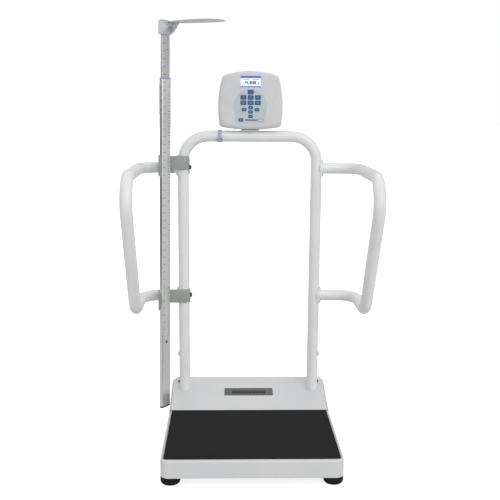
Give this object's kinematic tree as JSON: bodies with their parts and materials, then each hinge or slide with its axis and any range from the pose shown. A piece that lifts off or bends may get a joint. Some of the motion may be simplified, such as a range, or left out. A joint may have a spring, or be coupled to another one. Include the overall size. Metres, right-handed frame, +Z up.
{
  "type": "physician floor scale with handrails and height rod",
  "caption": "Digital platform scale with side handrails, turning keypad display and telescopic height rod with folding head paddle.",
  "frame": {"origin": "middle of the footprint on the floor, under the centre of the base", "axes": "+X to the right of someone facing the display, -Y to the front edge of the platform, +Z up"},
  "size_m": [0.7842, 0.596, 1.3936],
  "materials": {
    "white_enamel": "satin",
    "tube_enamel": "satin",
    "frame_steel": "matt primer",
    "black_rubber": "matt",
    "label_grey": "satin",
    "zinc_steel": "zinc plated",
    "dark_steel": "blackened",
    "cell_aluminium": "machined",
    "board_green": "solder resist",
    "light_plastic": "fine grain",
    "overlay_grey": "satin film",
    "clear_lens": "polished",
    "screen_blue": "lit screen",
    "cell_wrap": "wrapped",
    "mast_aluminium": "satin anodised",
    "white_nylon": "moulded",
    "black_plastic": "moulded",
    "blue_plastic": "satin",
    "clamp_enamel": "satin",
    "head_plastic": "fine grain",
    "cap_grey": "fine grain",
    "lead_jacket": "smooth sheath",
    "tie_nylon": "moulded"
  },
  "bodies": {
    "stand": {"base_frame": "frame_steel", "platform_cover": "white_enamel", "rear_housing": "white_enamel", "platform_mat": "black_rubber", "panel_label": "label_grey", "foot_studs": "zinc_steel", "junction_board": "board_green", "base_screws": "zinc_steel", "handrail_frame": "tube_enamel", "left_handrail": "tube_enamel", "right_handrail": "tube_enamel", "rail_saddles": "tube_enamel", "frame_bolts": "dark_steel", "display_bracket": "light_plastic", "mast_outer": "mast_aluminium", "mast_end_plug": "black_plastic", "reading_collar": "blue_plastic", "brake_housing": "light_plastic", "upper_clamp": "clamp_enamel", "lower_clamp": "clamp_enamel", "display_lead": "lead_jacket", "cable_ties": "tie_nylon", "load_cell_front_left": "cell_aluminium", "load_cell_front_right": "cell_aluminium", "load_cell_rear_left": "cell_aluminium", "load_cell_rear_right": "cell_aluminium"},
    "display": {"display_neck": "light_plastic", "front_shell": "light_plastic", "rear_shell": "light_plastic", "keypad_overlay": "overlay_grey", "display_lens": "clear_lens", "lcd_module": "screen_blue", "main_board": "board_green", "battery_cells": "cell_wrap", "shell_screws": "zinc_steel"},
    "battery_door": {"battery_cover": "light_plastic"},
    "rod": {"mast_inner": "mast_aluminium", "mast_glide": "white_nylon", "head_block": "head_plastic", "head_cap": "cap_grey", "hinge_pin": "zinc_steel"},
    "paddle": {"head_paddle": "head_plastic"},
    "foot_front_left": {"foot_front_left": "black_rubber"},
    "foot_front_right": {"foot_front_right": "black_rubber"},
    "foot_rear_left": {"foot_rear_left": "black_rubber"},
    "foot_rear_right": {"foot_rear_right": "black_rubber"},
    "key_01": {"key_01": "blue_plastic"},
    "key_02": {"key_02": "blue_plastic"},
    "key_03": {"key_03": "blue_plastic"},
    "key_04": {"key_04": "blue_plastic"},
    "key_05": {"key_05": "blue_plastic"},
    "key_06": {"key_06": "blue_plastic"},
    "key_07": {"key_07": "blue_plastic"},
    "key_08": {"key_08": "blue_plastic"},
    "key_09": {"key_09": "blue_plastic"},
    "key_10": {"key_10": "blue_plastic"},
    "key_11": {"key_11": "blue_plastic"},
    "key_12": {"key_12": "blue_plastic"},
    "key_13": {"key_13": "blue_plastic"}
  },
  "joints": [
    {"name": "rod_extend", "type": "slide", "parent": "stand", "child": "rod", "axis": [0.0122, 0, 0.9999], "range_m": [-0.13, 0.8]},
    {"name": "paddle_fold", "type": "hinge", "parent": "rod", "child": "paddle", "pos_m": [-0.25904, 0.16946, 1.37664], "axis": [0.5592, 0.829, -0.0068], "range_deg": [0, 90]},
    {"name": "display_swivel", "type": "hinge", "parent": "stand", "child": "display", "pos_m": [0, 0.23, 1.045], "axis": [0, 0, 1], "range_deg": [-90, 90]},
    {"name": "battery_door_slide", "type": "slide", "parent": "display", "child": "battery_door", "axis": [0, 0, -1], "range_m": [0, 0.03]},
    {"name": "foot_front_left_turn", "type": "hinge", "parent": "stand", "child": "foot_front_left", "pos_m": [-0.246, -0.264, 0.013], "axis": [0, 0, 1], "continuous": true},
    {"name": "foot_front_right_turn", "type": "hinge", "parent": "stand", "child": "foot_front_right", "pos_m": [0.246, -0.264, 0.013], "axis": [0, 0, 1], "continuous": true},
    {"name": "foot_rear_left_turn", "type": "hinge", "parent": "stand", "child": "foot_rear_left", "pos_m": [-0.246, 0.264, 0.013], "axis": [0, 0, 1], "continuous": true},
    {"name": "foot_rear_right_turn", "type": "hinge", "parent": "stand", "child": "foot_rear_right", "pos_m": [0.246, 0.264, 0.013], "axis": [0, 0, 1], "continuous": true},
    {"name": "key_01_press", "type": "slide", "parent": "display", "child": "key_01", "axis": [0, 1, 0], "range_m": [0, 0.0006], "stiffness_N_per_m": 2500, "springref_m": -0.0002},
    {"name": "key_02_press", "type": "slide", "parent": "display", "child": "key_02", "axis": [0, 1, 0], "range_m": [0, 0.0006], "stiffness_N_per_m": 2500, "springref_m": -0.0002},
    {"name": "key_03_press", "type": "slide", "parent": "display", "child": "key_03", "axis": [0, 1, 0], "range_m": [0, 0.0006], "stiffness_N_per_m": 2500, "springref_m": -0.0002},
    {"name": "key_04_press", "type": "slide", "parent": "display", "child": "key_04", "axis": [0, 1, 0], "range_m": [0, 0.0006], "stiffness_N_per_m": 2500, "springref_m": -0.0002},
    {"name": "key_05_press", "type": "slide", "parent": "display", "child": "key_05", "axis": [0, 1, 0], "range_m": [0, 0.0006], "stiffness_N_per_m": 2500, "springref_m": -0.0002},
    {"name": "key_06_press", "type": "slide", "parent": "display", "child": "key_06", "axis": [0, 1, 0], "range_m": [0, 0.0006], "stiffness_N_per_m": 2500, "springref_m": -0.0002},
    {"name": "key_07_press", "type": "slide", "parent": "display", "child": "key_07", "axis": [0, 1, 0], "range_m": [0, 0.0006], "stiffness_N_per_m": 2500, "springref_m": -0.0002},
    {"name": "key_08_press", "type": "slide", "parent": "display", "child": "key_08", "axis": [0, 1, 0], "range_m": [0, 0.0006], "stiffness_N_per_m": 2500, "springref_m": -0.0002},
    {"name": "key_09_press", "type": "slide", "parent": "display", "child": "key_09", "axis": [0, 1, 0], "range_m": [0, 0.0006], "stiffness_N_per_m": 2500, "springref_m": -0.0002},
    {"name": "key_10_press", "type": "slide", "parent": "display", "child": "key_10", "axis": [0, 1, 0], "range_m": [0, 0.0006], "stiffness_N_per_m": 2500, "springref_m": -0.0002},
    {"name": "key_11_press", "type": "slide", "parent": "display", "child": "key_11", "axis": [0, 1, 0], "range_m": [0, 0.0006], "stiffness_N_per_m": 2500, "springref_m": -0.0002},
    {"name": "key_12_press", "type": "slide", "parent": "display", "child": "key_12", "axis": [0, 1, 0], "range_m": [0, 0.0006], "stiffness_N_per_m": 2500, "springref_m": -0.0002},
    {"name": "key_13_press", "type": "slide", "parent": "display", "child": "key_13", "axis": [0, 1, 0], "range_m": [0, 0.0006], "stiffness_N_per_m": 2500, "springref_m": -0.0002}
  ]
}
